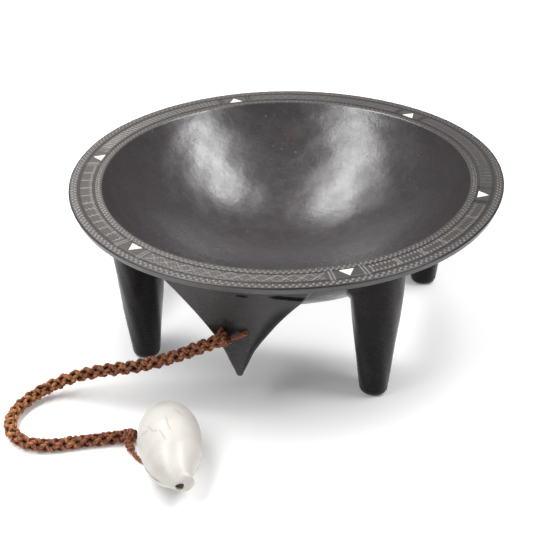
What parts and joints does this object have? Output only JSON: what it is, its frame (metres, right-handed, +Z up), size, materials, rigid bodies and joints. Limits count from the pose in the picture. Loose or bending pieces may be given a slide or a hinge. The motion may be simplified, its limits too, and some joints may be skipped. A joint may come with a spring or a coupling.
{
  "type": "carved wooden kava bowl with cord and cowrie",
  "caption": "Round carved wooden bowl on short legs, with an inlaid flat rim and a pierced lug that carries a braided cord ending in a white cowrie shell.",
  "frame": {"origin": "on the ground, under the bowl's vertical axis", "axes": "+Z up along the bowl's axis; the pierced lug is on the -Y side; +X is to the right when the lug faces the viewer"},
  "size_m": [0.4, 0.5051, 0.145],
  "materials": {
    "dark_wood": "dark stained hardwood with a satin hand-rubbed sheen",
    "inlay_shell": "polished cream shell",
    "coir": "braided reddish-brown coconut fibre",
    "cowrie": "glossy white porcelain-like shell"
  },
  "bodies": {
    "bowl": {"carved_bowl": "dark_wood", "rim_inlay_1": "inlay_shell", "rim_inlay_2": "inlay_shell", "rim_inlay_3": "inlay_shell", "rim_inlay_4": "inlay_shell", "rim_inlay_5": "inlay_shell", "rim_inlay_6": "inlay_shell", "sennit_cord": "coir", "lug_loop": "coir", "shell_tie": "coir"},
    "cowrie": {"cowrie_shell": "cowrie"}
  },
  "joints": [
    {"name": "shell_turn", "type": "hinge", "parent": "bowl", "child": "cowrie", "pos_m": [-0.04721, -0.25974, 0.016], "axis": [0, 0, 1], "range_deg": [-30, 25]}
  ]
}
